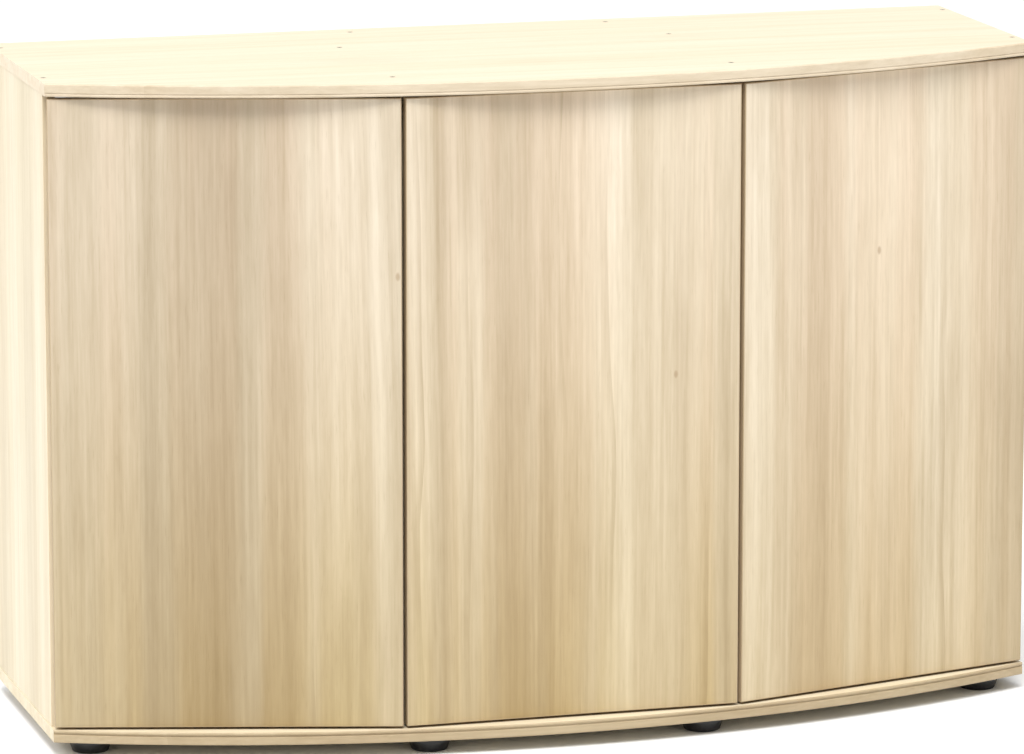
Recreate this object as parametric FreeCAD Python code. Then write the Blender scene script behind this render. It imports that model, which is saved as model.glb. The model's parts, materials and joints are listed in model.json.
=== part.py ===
"""Bow-front aquarium base cabinet with three flat doors.

Millimetres.  Origin: centre of the footprint on the floor.  +X is to the right of a person
facing the doors, +Y is towards the back, +Z is up.  Each sub-part is one STEP file in parts/.
"""
import FreeCAD
import Part
import math
import os

V = FreeCAD.Vector
Z_UP = V(0, 0, 1)

# ---- driving dimensions -----------------------------------------------------------------
WIDTH = 1210.0
DEPTH = 460.0
HEIGHT = 800.0
BOW = 126.0                 # how far the front curve stands out from its two corners
BOARD = 15.0
FOOT_HEIGHT = 18.0
FOOT_RADIUS = 25.0
CURVED_BAND = 2.0           # edge band on the bowed edges of the top and the base
STRAIGHT_BAND = 1.0         # edge band on every straight edge that shows

SIDE_INSET = 1.0            # outer face of a side panel, in from the end of the top
SIDE_FRONT_Y = -85.0
PARTITION_X = 206.0         # centre plane of each partition
PARTITION_FRONT_Y = -190.0
BACK_PANEL = 3.0            # thin back panels of the outer bays
BACK_BOARD_Y = 204.5        # middle plane of the recessed board of the middle bay

DOOR_THICKNESS = 15.0
DOOR_GAP_Z = 3.0            # above and below each door
DOOR_GAP_X = 5.0            # between two doors
DOOR_CORNER = (603.0, -103.0)    # outer front corner of an outer door
DOOR_VERTEX = (206.0, -211.0)    # where the fronts of two doors would meet

PIN_U = 9.8                 # hinge pin, from the end of the door
PIN_N = 6.0                 # hinge pin, in from the door's front face
PIN_RADIUS = 1.5
PIN_PLAY = 0.05
PIN_HALF = 10.0             # half the pin's length
KNUCKLE_RADIUS = 2.4
LUG_NEAR = 6.2              # inner face of each lug, from the hinge's middle plane
LUG_REACH = 3.0             # how far a lug stands past the pin's centre
ARM_WIDTH = 11.0
ARM_GAUGE = 2.5
ARM_THROAT_U = 22.2         # middle of the arm's throat, from the end of the door
ARM_THROAT_N = 25.0         # where the throat ends, in from the door's front face
ARM_SLANT_LENGTH = 8.0      # slanted run between the throat and the plate, along Y
ARM_PLATE_LENGTH = 48.0
ARM_SCREW_RUNS = (12.0, 38.0)    # screws along the plate, from its start
CUP_U = 22.5
CUP_RADIUS = 17.5
CUP_WALL = 1.0
CUP_DEPTH = 12.8
CUP_FLANGE = 1.0
CUP_FLANGE_RIM = 1.5        # how far the flange stands out round the cup
CUP_EAR_U = (3.0, 15.0)     # an ear's two sides, from the cup's centre
CUP_EAR_HALF = 31.0
CUP_SCREW_U = 9.0
CUP_SCREW_HALF = 26.0
HINGE_HEIGHTS = (116.0, 702.0)

LATCH_FROM_VERTEX = 46.0    # latch axis, back from the free end of the door
LATCH_DROP = 9.5            # latch axis, down from the underside of the top
LATCH_START_N = 24.0
LATCH_LENGTH = 62.0
LATCH_WIDTH = 16.0
LATCH_END_WALL = 4.0
LATCH_EAR_START = 20.0      # an ear's front side, from the front of the housing
LATCH_EAR_LENGTH = 16.0
LATCH_EAR_OUT = 9.0         # how far an ear stands out from the housing
LATCH_EAR_THICKNESS = 3.0
LATCH_SCREW_OUT = 5.0
PLUNGER_RADIUS = 3.5
PLUNGER_PLAY = 0.4
PLUNGER_TAIL_GAP = 4.0      # between the plunger's tail and the end of its bore
PLUNGER_NOSE_RADIUS = 4.4
PLUNGER_NOSE_LENGTH = 3.2
PLUNGER_REST_GAP = 0.5
STRIKE_RADIUS = 5.5
STRIKE_THICKNESS = 1.5

SHELF_Z = 409.0             # underside of the two shelves as stored
SHELF_HOLE_PITCH = 32.0
SHELF_HOLE_DEPTH = 9.0
SHELF_PIN_RADIUS = 2.5
SHELF_PIN_COLLAR = 4.0
SHELF_PIN_REACH = 8.0       # how far a pin stands out of its panel
SHELF_HOLE_STEPS = (-2, -1, 0, 1, 2)
SHELF_REAR_ROW_Y = 175.0
SHELF_SIDE_ROW_Y = -20.0
SHELF_PARTITION_ROW_Y = -100.0
SHELF_PLAY = 1.2            # between each end of a shelf and its panel
SHELF_REAR_PLAY = 2.0
SHELF_SET_BACK = 48.0       # a shelf's front edge, back from the doors' fronts

HOSE_X = (400.0, 540.0)     # cut-out for hoses and leads in each thin back panel
HOSE_Z = (640.0, 735.0)
HOSE_CORNER = 14.0
BACK_SCREW_HEIGHTS = (60.0, 235.0, 409.0, 583.0, 758.0)
BACK_SCREW_INSET = 3.0      # from the edge of the panel that lies on the partition

# A screw is (radius of its shank, radius of its head, length).
CARCASS_SCREW = (2.0, 3.5, 50.0)
ARM_SCREW = (1.8, 3.4, 14.0)
CUP_SCREW = (1.5, 3.0, 12.0)
LATCH_SCREW = (1.4, 2.8, 12.0)
STRIKE_SCREW = (1.2, 2.4, 11.0)
BACK_SCREW = (1.2, 2.6, 16.0)
FOOT_SCREW = (2.2, 4.2, 22.0)
CARCASS_SCREW_SINK = 0.2    # these heads lie a little under the boards' faces
CROSS_REACH = 0.55          # a head's cross recess, as shares of the head's radius
CROSS_HALF_WIDTH = 0.14
CROSS_DEPTH = 0.40

SIDE_SCREW_Y = (191.0, -57.0)
PARTITION_SCREW_Y = (84.0, -161.5)
BACK_BOARD_SCREW_X = 162.0
SIDE_DOWEL_Y = (130.0, 0.0)
PARTITION_DOWEL_Y = (160.0, -90.0)
BACK_BOARD_DOWEL_X = 60.0
DOWEL_RADIUS = 4.0
DOWEL_LENGTH = 30.0
DOWEL_SEAT = 10.0           # the part of a dowel that lies in the top or the base

FOOT_TAPER = 3.0
FOOT_COLLAR = 7.0           # height of the straight upper part
FOOT_ROLL = 2.0             # radius of the rolled lower edge
FOOT_RECESS_RADIUS = 9.0
FOOT_RECESS_DEPTH = 9.0
FOOT_PLACES = {
    "front_outer": (556.0, -78.0),
    "front_inner": (169.0, -180.0),
    "rear_outer": (556.0, 190.0),
    "rear_inner": (169.0, 190.0),
}

# ---- levels and faces worked out from them ----------------------------------------------
BASE_Z = FOOT_HEIGHT
FLOOR_Z = BASE_Z + BOARD                  # upper face of the base
CEILING_Z = HEIGHT - BOARD                # lower face of the top
REAR_Y = DEPTH / 2
FRONT_Y = -DEPTH / 2
BOW_RADIUS = ((WIDTH / 2) ** 2 + BOW ** 2) / (2 * BOW)
BOW_CENTRE_Y = FRONT_Y + BOW_RADIUS
SIDE_OUTER_X = WIDTH / 2 - SIDE_INSET
SIDE_INNER_X = SIDE_OUTER_X - BOARD
PART_OUTER_X = PARTITION_X + BOARD / 2
PART_INNER_X = PARTITION_X - BOARD / 2
CARCASS_REAR_Y = REAR_Y - BACK_PANEL
DOOR_LOW_Z = FLOOR_Z + DOOR_GAP_Z
DOOR_HIGH_Z = CEILING_Z - DOOR_GAP_Z
LATCH_Z = CEILING_Z - LATCH_DROP
CUP_FLOOR_N = DOOR_THICKNESS - CUP_DEPTH
SIDE_MIDDLE_X = SIDE_OUTER_X - BOARD / 2


# ---- small helpers ----------------------------------------------------------------------
def save(node, *solids):
    """Write one node, as a single solid or as a group of separate solids."""
    shape = solids[0] if len(solids) == 1 else Part.makeCompound(list(solids))
    shape.exportStep("parts/" + node + ".step")


def box(x0, x1, y0, y1, z0, z1):
    return Part.makeBox(x1 - x0, y1 - y0, z1 - z0, V(x0, y0, z0))


def cylinder(radius, start, end):
    way = V(*end) - V(*start)
    return Part.makeCylinder(radius, way.Length, V(*start), way)


def prism(outline, z0, z1):
    """A vertical prism on a closed outline of (x, y) points."""
    points = [V(x, y, z0) for x, y in outline]
    face = Part.Face(Part.makePolygon(points + points[:1]))
    return face.extrude(V(0, 0, z1 - z0))


def mirrored(shape):
    return shape.mirror(V(0, 0, 0), V(1, 0, 0))


def cut_all(shape, tools):
    return shape.cut(list(tools))


def countersunk(head, way, size, sink=0.0):
    """A screw with a cross recess, and the solid that bores its seat.

    head is the middle of the seat where it opens, and way points along the screw to its tip.
    """
    shank, rim, length = size
    end = length - sink
    profile = [(0, 0), (rim, 0), (shank, rim - shank), (shank, end - shank), (0, end), (0, 0)]
    face = Part.Face(Part.makePolygon([V(r, 0, h) for r, h in profile]))
    blank = face.revolve(V(0, 0, 0), Z_UP, 360)
    reach = CROSS_REACH * rim
    half = CROSS_HALF_WIDTH * rim
    depth = CROSS_DEPTH * rim
    cross = [
        box(-reach, reach, -half, half, -depth, depth),
        box(-half, half, -reach, reach, -depth, depth),
    ]
    screw = blank.cut(cross)
    bore = blank
    if sink:
        bore = blank.fuse(Part.makeCylinder(rim, sink, V(0, 0, -sink)))
    start = V(*head) + V(*way) * sink
    turn = FreeCAD.Rotation(Z_UP, V(*way))
    for piece in (screw, bore):
        piece.Placement = FreeCAD.Placement(start, turn)
    return screw, bore


def screws_and_bores(pairs):
    """Two lists from a list of (screw, bore) pairs."""
    return [screw for screw, bore in pairs], [bore for screw, bore in pairs]


# ---- bowed top and base -----------------------------------------------------------------
def bow_point(x, inset=0.0):
    radius = BOW_RADIUS - inset
    return (x, BOW_CENTRE_Y - math.sqrt(radius ** 2 - x ** 2))


def bowed_board(z0, inset):
    """A board whose front edge is one arc from corner to corner."""
    left = bow_point(-WIDTH / 2, inset)
    middle = bow_point(0, inset)
    right = bow_point(WIDTH / 2, inset)
    front = Part.Arc(V(*left, z0), V(*middle, z0), V(*right, z0)).toShape()
    rest = Part.makePolygon([
        V(*right, z0),
        V(WIDTH / 2, REAR_Y, z0),
        V(-WIDTH / 2, REAR_Y, z0),
        V(*left, z0),
    ])
    face = Part.Face(Part.Wire([front] + rest.Edges))
    return face.extrude(V(0, 0, BOARD))


def board_and_band(z0):
    whole = bowed_board(z0, 0)
    core = bowed_board(z0, CURVED_BAND)
    return core, whole.cut(core)


# ---- door frames of reference -----------------------------------------------------------
# A door is drawn in its own plan: u runs along the door from its hinged end, n runs in from
# its front face.  Each door's frame places that plan in the cabinet.
SPLAY = math.atan2(DOOR_CORNER[1] - DOOR_VERTEX[1], DOOR_CORNER[0] - DOOR_VERTEX[0])


def place_left(shape):
    moved = shape.copy()
    turn = FreeCAD.Rotation(Z_UP, -math.degrees(SPLAY))
    moved.Placement = FreeCAD.Placement(V(-DOOR_CORNER[0], DOOR_CORNER[1], 0), turn).multiply(
        moved.Placement)
    return moved


def place_right(shape):
    return mirrored(place_left(shape))


MIDDLE_HALF = DOOR_VERTEX[0] - DOOR_GAP_X / 2


def place_middle(shape):
    moved = shape.copy()
    moved.translate(V(-MIDDLE_HALF, DOOR_VERTEX[1], 0))
    return moved


def outer_end_u(n):
    """Where an outer door's free end lies: a plane parallel to the middle door's end."""
    reach = DOOR_CORNER[0] - DOOR_VERTEX[0] - DOOR_GAP_X / 2
    return (reach - n * math.sin(SPLAY)) / math.cos(SPLAY)


def middle_end_u(n):
    return 2 * MIDDLE_HALF


DOORS = {
    "left": (place_left, outer_end_u),
    "middle": (place_middle, middle_end_u),
    "right": (place_right, outer_end_u),
}


# ---- doors ------------------------------------------------------------------------------
def door_blank(end_u, trim):
    """The door's panel with every edge cut back by trim."""
    skew = trim / math.cos(SPLAY) if end_u is outer_end_u else trim
    outline = [
        (trim, 0),
        (end_u(0) - skew, 0),
        (end_u(DOOR_THICKNESS) - skew, DOOR_THICKNESS),
        (trim, DOOR_THICKNESS),
    ]
    return prism(outline, DOOR_LOW_Z + trim, DOOR_HIGH_Z - trim)


def door_bands(end_u):
    """Four separate strips that cover the panel's edges."""
    whole = door_blank(end_u, 0)
    panel = door_blank(end_u, STRAIGHT_BAND)
    rim = whole.cut(panel)
    reach = end_u(0) + 1
    hinge_end = STRAIGHT_BAND
    free_end = box(hinge_end, reach, -1, DOOR_THICKNESS + 1, DOOR_LOW_Z, DOOR_HIGH_Z)
    low = DOOR_LOW_Z + STRAIGHT_BAND
    high = DOOR_HIGH_Z - STRAIGHT_BAND
    level = box(-1, reach, -1, DOOR_THICKNESS + 1, low, high)
    hinge_strip = rim.cut(free_end)
    others = rim.common(free_end)
    free_strip = others.common(level)
    lower_upper = others.cut(level)
    return [hinge_strip] + free_strip.Solids + lower_upper.Solids


def hinge_cup(z):
    """A round cup, open at the back face, with screw ears and two lugs that hold the pin."""
    back = DOOR_THICKNESS
    proud = DOOR_THICKNESS + CUP_FLANGE
    outer = cylinder(CUP_RADIUS, (CUP_U, CUP_FLOOR_N, z), (CUP_U, back, z))
    hollow = cylinder(CUP_RADIUS - CUP_WALL, (CUP_U, CUP_FLOOR_N + CUP_WALL, z), (CUP_U, proud, z))
    rim = cylinder(CUP_RADIUS + CUP_FLANGE_RIM, (CUP_U, back, z), (CUP_U, proud, z))
    near, far = CUP_EAR_U
    ears = box(CUP_U + near, CUP_U + far, back, proud, z - CUP_EAR_HALF, z + CUP_EAR_HALF)
    flange_start = CUP_U - CUP_RADIUS + CUP_WALL
    flange_end = CUP_U + CUP_EAR_HALF
    keep = box(flange_start, flange_end, back, proud, z - CUP_EAR_HALF, z + CUP_EAR_HALF)
    shell = outer.fuse(rim.fuse(ears).common(keep)).cut(hollow)
    lugs = [
        box(0, PIN_U + LUG_REACH, CUP_FLOOR_N, PIN_N + LUG_REACH, z + low, z + high).common(outer)
        for low, high in ((-PIN_HALF, -LUG_NEAR), (LUG_NEAR, PIN_HALF))
    ]
    return shell.fuse(lugs).removeSplitter()


def hinge_pin(z):
    """The pin crosses the cup and is held in its two lugs."""
    return cylinder(PIN_RADIUS, (PIN_U, PIN_N, z - PIN_HALF), (PIN_U, PIN_N, z + PIN_HALF))


def cup_screws(z):
    """Two short screws through a cup's ears, with their bores."""
    u = CUP_U + CUP_SCREW_U
    face = DOOR_THICKNESS + CUP_FLANGE
    return [
        countersunk((u, face, z + side), (0, -1, 0), CUP_SCREW)
        for side in (-CUP_SCREW_HALF, CUP_SCREW_HALF)
    ]


def strike_plate(u):
    """A steel disc on the back of the door, where the latch's magnet rests, and its screw."""
    face = DOOR_THICKNESS + STRIKE_THICKNESS
    disc = cylinder(STRIKE_RADIUS, (u, DOOR_THICKNESS, LATCH_Z), (u, face, LATCH_Z))
    screw, bore = countersunk((u, face, LATCH_Z), (0, -1, 0), STRIKE_SCREW)
    return disc.cut(bore), screw, bore


def make_doors():
    for name, (place, end_u) in DOORS.items():
        cups = [hinge_cup(z) for z in HINGE_HEIGHTS]
        pins = [hinge_pin(z) for z in HINGE_HEIGHTS]
        pairs = [pair for z in HINGE_HEIGHTS for pair in cup_screws(z)]
        screws, bores = screws_and_bores(pairs)
        plate, plate_screw, plate_bore = strike_plate(end_u(0) - LATCH_FROM_VERTEX)
        cups = [cut_all(cup.cut(pin), bores) for cup, pin in zip(cups, pins)]
        pockets = [
            cylinder(CUP_RADIUS, (CUP_U, CUP_FLOOR_N, z), (CUP_U, 2 * DOOR_THICKNESS, z))
            for z in HINGE_HEIGHTS
        ]
        panel = door_blank(end_u, STRAIGHT_BAND)
        panel = cut_all(panel, pockets + bores + [plate_bore])
        save(name + "_door", place(panel))
        save(name + "_door_edge_bands", *[place(strip) for strip in door_bands(end_u)])
        save(name + "_hinge_cups", *[place(cup) for cup in cups])
        save(name + "_hinge_pins", *[place(pin) for pin in pins])
        save(name + "_cup_screws", *[place(screw) for screw in screws])
        save(name + "_strike_plate", place(plate), place(plate_screw))


# ---- hinge arms on the cabinet ----------------------------------------------------------
def strip(points, z0, z1):
    """Sheet steel bent along a plan route, drawn as its runs with rounded bends."""
    half = ARM_GAUGE / 2
    shape = None
    for (xa, ya), (xb, yb) in zip(points, points[1:]):
        run = V(xb - xa, yb - ya, 0)
        side = V(-run.y, run.x, 0).normalize() * half
        start = V(xa, ya, z0)
        end = V(xb, yb, z0)
        outline = Part.makePolygon([start + side, end + side, end - side, start - side, start + side])
        piece = Part.Face(outline).extrude(V(0, 0, z1 - z0))
        shape = piece if shape is None else shape.fuse(piece)
    for x, y in points[1:-1]:
        shape = shape.fuse(cylinder(half, (x, y, z0), (x, y, z1)))
    return shape.removeSplitter()


def plan_point(place, u, n):
    point = place(Part.Vertex(u, n, 0)).Point
    return (point.x, point.y)


def hinge_arm(place, face_x, inward, z):
    """A cranked arm: knuckle on the pin, throat out of the cup, plate on the panel's face."""
    z0 = z - ARM_WIDTH / 2
    z1 = z + ARM_WIDTH / 2
    pin_x, pin_y = plan_point(place, PIN_U, PIN_N)
    throat_x, throat_y = plan_point(place, ARM_THROAT_U, PIN_N)
    top_x, top_y = plan_point(place, ARM_THROAT_U, ARM_THROAT_N)
    plate_x = face_x + inward * ARM_GAUGE / 2
    plate_y = top_y + ARM_SLANT_LENGTH
    route = [
        (pin_x, pin_y),
        (throat_x, throat_y),
        (top_x, top_y),
        (plate_x, plate_y),
        (plate_x, plate_y + ARM_PLATE_LENGTH),
    ]
    arm = strip(route, z0, z1).fuse(cylinder(KNUCKLE_RADIUS, (pin_x, pin_y, z0), (pin_x, pin_y, z1)))
    arm = arm.cut(cylinder(PIN_RADIUS + PIN_PLAY, (pin_x, pin_y, z0 - 1), (pin_x, pin_y, z1 + 1)))
    head_x = face_x + inward * ARM_GAUGE
    pairs = [
        countersunk((head_x, plate_y + run, z), (-inward, 0, 0), ARM_SCREW)
        for run in ARM_SCREW_RUNS
    ]
    bores = screws_and_bores(pairs)[1]
    return cut_all(arm, bores).removeSplitter(), pairs


def make_hinge_arms():
    """Returns the bores of every arm screw, for the panels."""
    seats = {
        "left": (place_left, -SIDE_INNER_X, 1),
        "middle": (place_middle, -PART_INNER_X, 1),
        "right": (place_right, SIDE_INNER_X, -1),
    }
    all_pairs = []
    for name, (place, face_x, inward) in seats.items():
        arms = []
        for z in HINGE_HEIGHTS:
            arm, pairs = hinge_arm(place, face_x, inward, z)
            arms.append(arm)
            all_pairs += pairs
        save(name + "_hinge_arms", *arms)
    screws, bores = screws_and_bores(all_pairs)
    save("hinge_arm_screws", *screws)
    return bores


# ---- push latches under the top ---------------------------------------------------------
def latch_housing(u):
    """A box with a bore for the plunger and two ears screwed up under the top."""
    half = LATCH_WIDTH / 2
    front = LATCH_START_N
    rear = LATCH_START_N + LATCH_LENGTH
    ear_front = front + LATCH_EAR_START
    ear_half = half + LATCH_EAR_OUT
    ear_low = CEILING_Z - LATCH_EAR_THICKNESS
    body = box(u - half, u + half, front, rear, LATCH_Z - half, CEILING_Z)
    ear = box(u - ear_half, u + ear_half, ear_front, ear_front + LATCH_EAR_LENGTH, ear_low, CEILING_Z)
    bore_radius = PLUNGER_RADIUS + PLUNGER_PLAY
    bore = cylinder(bore_radius, (u, front - 1, LATCH_Z), (u, rear - LATCH_END_WALL, LATCH_Z))
    n = ear_front + LATCH_EAR_LENGTH / 2
    pairs = [
        countersunk((u + side, n, ear_low), (0, 0, 1), LATCH_SCREW)
        for side in (-half - LATCH_SCREW_OUT, half + LATCH_SCREW_OUT)
    ]
    seats = screws_and_bores(pairs)[1]
    return cut_all(body.fuse(ear), [bore] + seats).removeSplitter(), pairs


def latch_plunger(u):
    """A round rod with a magnet nose that rests just off the strike plate."""
    tip = DOOR_THICKNESS + STRIKE_THICKNESS + PLUNGER_REST_GAP
    tail = LATCH_START_N + LATCH_LENGTH - LATCH_END_WALL - PLUNGER_TAIL_GAP
    nose_end = tip + PLUNGER_NOSE_LENGTH
    nose = cylinder(PLUNGER_NOSE_RADIUS, (u, tip, LATCH_Z), (u, nose_end, LATCH_Z))
    rod = cylinder(PLUNGER_RADIUS, (u, nose_end - 1, LATCH_Z), (u, tail, LATCH_Z))
    return rod.fuse(nose)


def make_latches():
    """Returns the bores of every latch screw, for the top."""
    all_screws = []
    all_bores = []
    for name, (place, end_u) in DOORS.items():
        u = end_u(0) - LATCH_FROM_VERTEX
        housing, pairs = latch_housing(u)
        screws, bores = screws_and_bores(pairs)
        save(name + "_latch_housing", place(housing))
        save(name + "_latch_plunger", place(latch_plunger(u)))
        all_screws += [place(screw) for screw in screws]
        all_bores += [place(bore) for bore in bores]
    save("latch_screws", *all_screws)
    return all_bores


# ---- carcass screws, dowels and feet ----------------------------------------------------
def upright_axes():
    """Plan positions of the screws down into the sides, partitions and back board."""
    rows = (
        (SIDE_MIDDLE_X, SIDE_SCREW_Y),
        (PARTITION_X, PARTITION_SCREW_Y),
        (BACK_BOARD_SCREW_X, (BACK_BOARD_Y,)),
    )
    return [(sign * x, y) for x, ys in rows for y in ys for sign in (-1, 1)]


def carcass_screws(z, way_z):
    """Screws whose heads lie in the face at z, and their bores."""
    return screws_and_bores([
        countersunk((x, y, z), (0, 0, way_z), CARCASS_SCREW, CARCASS_SCREW_SINK)
        for x, y in upright_axes()
    ])


def dowels():
    """Dowels partly in the top or the base and partly in the upright that stands against it."""
    rows = (
        (SIDE_MIDDLE_X, SIDE_DOWEL_Y),
        (PARTITION_X, PARTITION_DOWEL_Y),
        (BACK_BOARD_DOWEL_X, (BACK_BOARD_Y,)),
    )
    made = []
    for x, ys in rows:
        for y in ys:
            for sign in (-1, 1):
                for face_z, way_z in ((CEILING_Z, -1), (FLOOR_Z, 1)):
                    start = face_z - way_z * DOWEL_SEAT
                    end = start + way_z * DOWEL_LENGTH
                    made.append(cylinder(DOWEL_RADIUS, (sign * x, y, start), (sign * x, y, end)))
    return made


def foot(x, y):
    """A round moulded foot with a rolled lower edge and a recess for its screw."""
    lower = FOOT_RADIUS - FOOT_TAPER
    bend = FOOT_ROLL * (1 - math.sqrt(0.5))
    collar_z = FOOT_HEIGHT - FOOT_COLLAR
    roll = Part.Arc(V(lower - FOOT_ROLL, 0, 0), V(lower - bend, 0, bend), V(lower, 0, FOOT_ROLL))
    outside = Part.makePolygon([
        V(lower, 0, FOOT_ROLL),
        V(FOOT_RADIUS, 0, collar_z),
        V(FOOT_RADIUS, 0, FOOT_HEIGHT),
        V(0, 0, FOOT_HEIGHT),
        V(0, 0, FOOT_RECESS_DEPTH),
        V(FOOT_RECESS_RADIUS, 0, FOOT_RECESS_DEPTH),
        V(FOOT_RECESS_RADIUS, 0, 0),
        V(lower - FOOT_ROLL, 0, 0),
    ])
    profile = Part.Wire([roll.toShape()] + outside.Edges)
    body = Part.Face(profile).revolve(V(0, 0, 0), Z_UP, 360)
    body.translate(V(x, y, 0))
    pair = countersunk((x, y, FOOT_RECESS_DEPTH), (0, 0, 1), FOOT_SCREW)
    return body.cut(pair[1]), pair


def make_feet():
    """Returns the bores of the foot screws, for the base."""
    pairs = []
    for name, (x, y) in FOOT_PLACES.items():
        for side, sign in (("left", -1), ("right", 1)):
            body, pair = foot(sign * x, y)
            save(side + "_" + name + "_foot", body)
            pairs.append(pair)
    screws, bores = screws_and_bores(pairs)
    save("foot_screws", *screws)
    return bores


# ---- shelves ----------------------------------------------------------------------------
def shelf_rows():
    """Plan rows of 5 mm holes that face an outer bay: (face x, direction into panel, y)."""
    side_rows = [(-SIDE_INNER_X, -1, y) for y in (SHELF_REAR_ROW_Y, SHELF_SIDE_ROW_Y)]
    part_rows = [(-PART_OUTER_X, 1, y) for y in (SHELF_REAR_ROW_Y, SHELF_PARTITION_ROW_Y)]
    return side_rows + part_rows


def shelf_holes():
    """Spare holes above and below the row of holes that the shelf pins use."""
    holes = []
    for x, way, y in shelf_rows():
        for step in SHELF_HOLE_STEPS:
            z = SHELF_Z - SHELF_PIN_RADIUS + step * SHELF_HOLE_PITCH
            hole = cylinder(SHELF_PIN_RADIUS, (x, y, z), (x + way * SHELF_HOLE_DEPTH, y, z))
            holes += [hole, mirrored(hole)]
    return holes


def shelf_pins():
    """Round pins whose collars lie between a shelf's end and the panel."""
    pins = []
    z = SHELF_Z - SHELF_PIN_RADIUS
    collar_width = SHELF_PLAY * 0.8
    for x, way, y in shelf_rows():
        inner_x = x + way * (SHELF_HOLE_DEPTH - 1)
        outer_x = x - way * SHELF_PIN_REACH
        shank = cylinder(SHELF_PIN_RADIUS, (inner_x, y, z), (outer_x, y, z))
        collar = cylinder(SHELF_PIN_COLLAR, (x, y, z), (x - way * collar_width, y, z))
        pin = shank.fuse(collar).removeSplitter()
        pins += [pin, mirrored(pin)]
    return pins


def shelf():
    """The left shelf; its front edge runs parallel to the outer door."""
    x0 = -SIDE_INNER_X + SHELF_PLAY
    x1 = -PART_OUTER_X - SHELF_PLAY
    front = DOOR_CORNER[1] + SHELF_SET_BACK
    slope = -math.tan(SPLAY)
    y0 = front + (x0 + DOOR_CORNER[0]) * slope
    y1 = front + (x1 + DOOR_CORNER[0]) * slope
    band = STRAIGHT_BAND / math.cos(SPLAY)
    z0 = SHELF_Z
    z1 = SHELF_Z + BOARD
    rear = CARCASS_REAR_Y - SHELF_REAR_PLAY
    board = prism([(x0, y0 + band), (x1, y1 + band), (x1, rear), (x0, rear)], z0, z1)
    edge = prism([(x0, y0), (x1, y1), (x1, y1 + band), (x0, y0 + band)], z0, z1)
    return board, edge


# ---- uprights and backs -----------------------------------------------------------------
def upright(x0, x1, front_y):
    """A standing panel and the band on its front edge."""
    panel = box(x0, x1, front_y + STRAIGHT_BAND, CARCASS_REAR_Y, FLOOR_Z, CEILING_Z)
    band = box(x0, x1, front_y, front_y + STRAIGHT_BAND, FLOOR_Z, CEILING_Z)
    return panel, band


def back_panel():
    """The left outer bay's thin back, with a rounded cut-out for hoses and leads."""
    x0 = -SIDE_OUTER_X
    x1 = -PARTITION_X
    panel = box(x0, x1, CARCASS_REAR_Y, REAR_Y, FLOOR_Z, CEILING_Z)
    near, far = HOSE_X
    low, high = HOSE_Z
    opening = box(-far, -near, CARCASS_REAR_Y - 1, REAR_Y + 1, low, high)
    corners = [edge for edge in opening.Edges if abs(edge.tangentAt(edge.FirstParameter).y) > 0.9]
    opening = opening.makeFillet(HOSE_CORNER, corners)
    screws, bores = screws_and_bores([
        countersunk((x, REAR_Y, z), (0, -1, 0), BACK_SCREW)
        for x in (x0 + BOARD / 2, x1 - BACK_SCREW_INSET)
        for z in BACK_SCREW_HEIGHTS
    ])
    return cut_all(panel.cut(opening), bores), screws, bores


def make_backs():
    """Returns the bores of the back panels' screws, for the uprights."""
    panel, screws, bores = back_panel()
    save("left_back_panel", panel)
    save("right_back_panel", mirrored(panel))
    save("back_panel_screws", *screws, *[mirrored(screw) for screw in screws])
    return bores + [mirrored(bore) for bore in bores]


def make_top_and_base(top_bores, base_bores):
    top, top_band = board_and_band(CEILING_Z)
    base, base_band = board_and_band(BASE_Z)
    save("top_panel", cut_all(top, top_bores))
    save("top_edge_band", top_band)
    save("base_panel", cut_all(base, base_bores))
    save("base_edge_band", base_band)


def make_uprights(bores):
    uprights = {
        "left_side_panel": (-SIDE_OUTER_X, -SIDE_INNER_X, SIDE_FRONT_Y),
        "right_side_panel": (SIDE_INNER_X, SIDE_OUTER_X, SIDE_FRONT_Y),
        "left_partition": (-PART_OUTER_X, -PART_INNER_X, PARTITION_FRONT_Y),
        "right_partition": (PART_INNER_X, PART_OUTER_X, PARTITION_FRONT_Y),
    }
    bands = []
    for name, (x0, x1, front_y) in uprights.items():
        panel, band = upright(x0, x1, front_y)
        save(name, cut_all(panel, bores))
        bands.append(band)
    save("upright_edge_bands", *bands)


def make_middle_back_board(bores):
    front = BACK_BOARD_Y - BOARD / 2
    board = box(-PART_INNER_X, PART_INNER_X, front, front + BOARD, FLOOR_Z, CEILING_Z)
    save("middle_back_board", cut_all(board, bores))


def make_shelves():
    board, edge = shelf()
    save("left_shelf", board)
    save("right_shelf", mirrored(board))
    save("shelf_edge_bands", edge, mirrored(edge))
    save("shelf_pins", *shelf_pins())


def main():
    os.makedirs("parts", exist_ok=True)

    arm_bores = make_hinge_arms()
    latch_bores = make_latches()
    foot_bores = make_feet()
    back_bores = make_backs()
    make_doors()
    make_shelves()

    top_screws, top_bores = carcass_screws(HEIGHT, -1)
    base_screws, base_bores = carcass_screws(BASE_Z, 1)
    pegs = dowels()
    save("top_screws", *top_screws)
    save("base_screws", *base_screws)
    save("dowels", *pegs)

    make_top_and_base(top_bores + latch_bores + pegs, base_bores + foot_bores + pegs)
    joints = top_bores + base_bores + pegs
    make_uprights(joints + arm_bores + back_bores + shelf_holes())
    make_middle_back_board(joints)


main()
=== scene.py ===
import json
import math

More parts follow.
